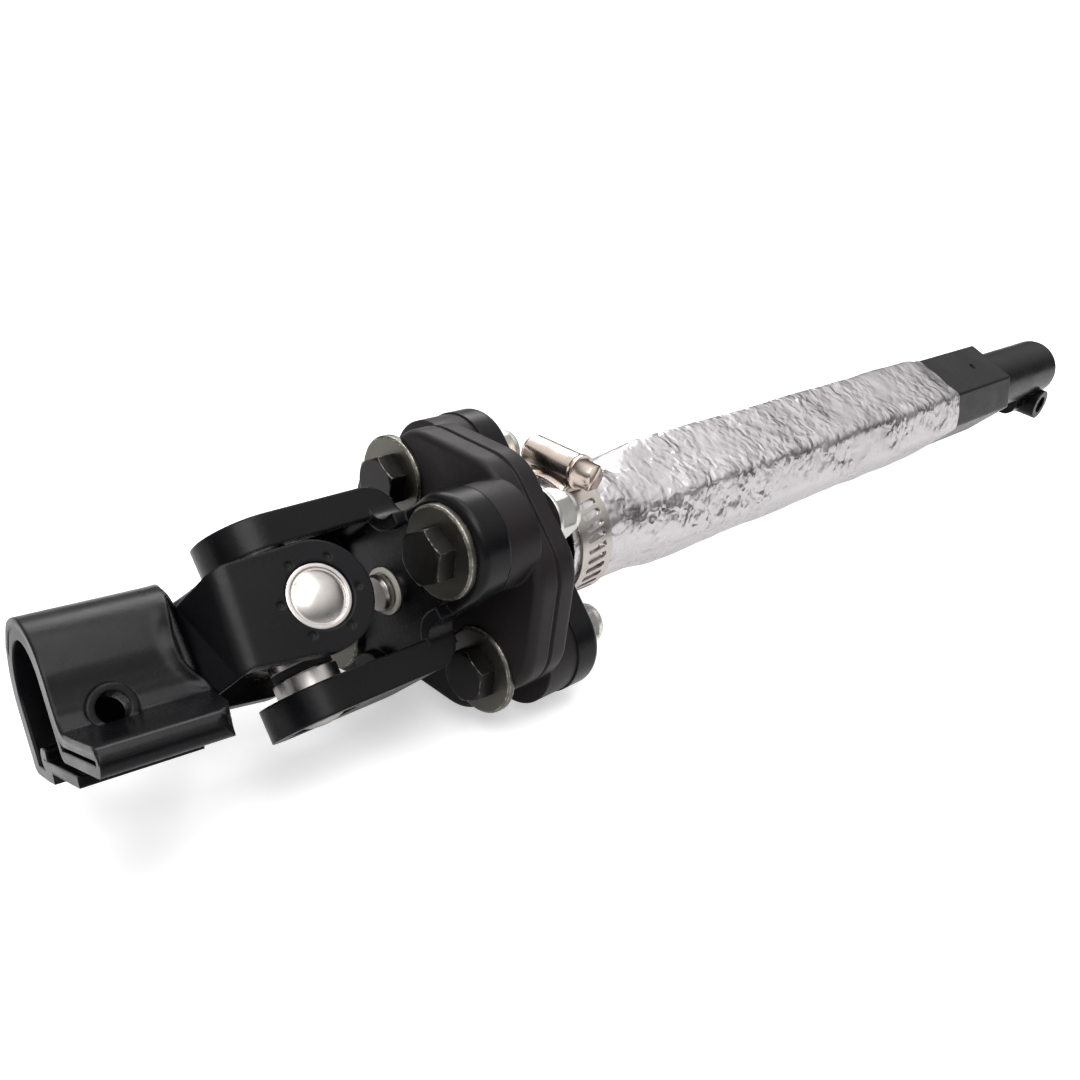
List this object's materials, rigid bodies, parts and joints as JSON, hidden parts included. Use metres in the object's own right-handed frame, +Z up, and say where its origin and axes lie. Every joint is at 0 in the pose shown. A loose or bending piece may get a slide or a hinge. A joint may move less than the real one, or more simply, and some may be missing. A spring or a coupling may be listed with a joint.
{
  "type": "steering_shaft",
  "caption": "Steering column shaft with a clamp yoke and cross joint, an eight-sided rubber coupling disc, a foil-sleeved six-sided sliding tube and a split upper clamp.",
  "frame": {"origin": "centre of the upper clamp's bore at its mouth", "axes": "+X runs along the shaft from the rubber disc to the upper clamp, +Z is up as the shaft lies, +Y points away from the side that shows in the picture"},
  "size_m": [0.5154, 0.0767, 0.074],
  "materials": {
    "black_paint": "gloss",
    "bright_steel": "polished",
    "zinc_plate": "satin",
    "band_steel": "satin",
    "disc_rubber": "matte",
    "seal_rubber": "matte",
    "bush_plastic": "matte",
    "foil": "crinkled"
  },
  "bodies": {
    "shaft": {"upper_cap_top": "bright_steel", "upper_cap_bottom": "bright_steel", "upper_needles_top": "bright_steel", "upper_needles_bottom": "bright_steel", "upper_yoke": "black_paint", "flex_disc": "disc_rubber", "disc_bushes": "zinc_plate", "disc_bolts": "zinc_plate", "bolt_washers": "zinc_plate", "bolt_nuts": "zinc_plate", "centre_pin": "bright_steel", "pin_bush": "bush_plastic", "shaft_flange": "black_paint", "inner_shaft": "black_paint", "slide_liners": "bush_plastic", "foil_sleeve": "foil", "clamp_band": "band_steel", "clamp_housing": "band_steel", "clamp_screw": "band_steel"},
    "cross_body": {"cross": "bright_steel", "cross_seals": "seal_rubber"},
    "clamp_yoke": {"lower_yoke": "black_paint", "lower_cap_near": "bright_steel", "lower_cap_far": "bright_steel", "lower_needles_near": "bright_steel", "lower_needles_far": "bright_steel"},
    "slider": {"tube": "black_paint", "upper_clamp": "black_paint"}
  },
  "joints": [
    {"name": "upper_yoke_pivot", "type": "hinge", "parent": "shaft", "child": "cross_body", "pos_m": [-0.452, 0, 0], "axis": [0, 0.7071, 0.7071], "range_deg": [-18, 30]},
    {"name": "lower_yoke_pivot", "type": "hinge", "parent": "cross_body", "child": "clamp_yoke", "pos_m": [-0.452, 0, 0], "axis": [0.1063, 0.7031, -0.7031], "range_deg": [-28, 20]},
    {"name": "tube_slide", "type": "slide", "parent": "shaft", "child": "slider", "axis": [1, 0, 0], "range_m": [-0.045, 0.03]}
  ]
}
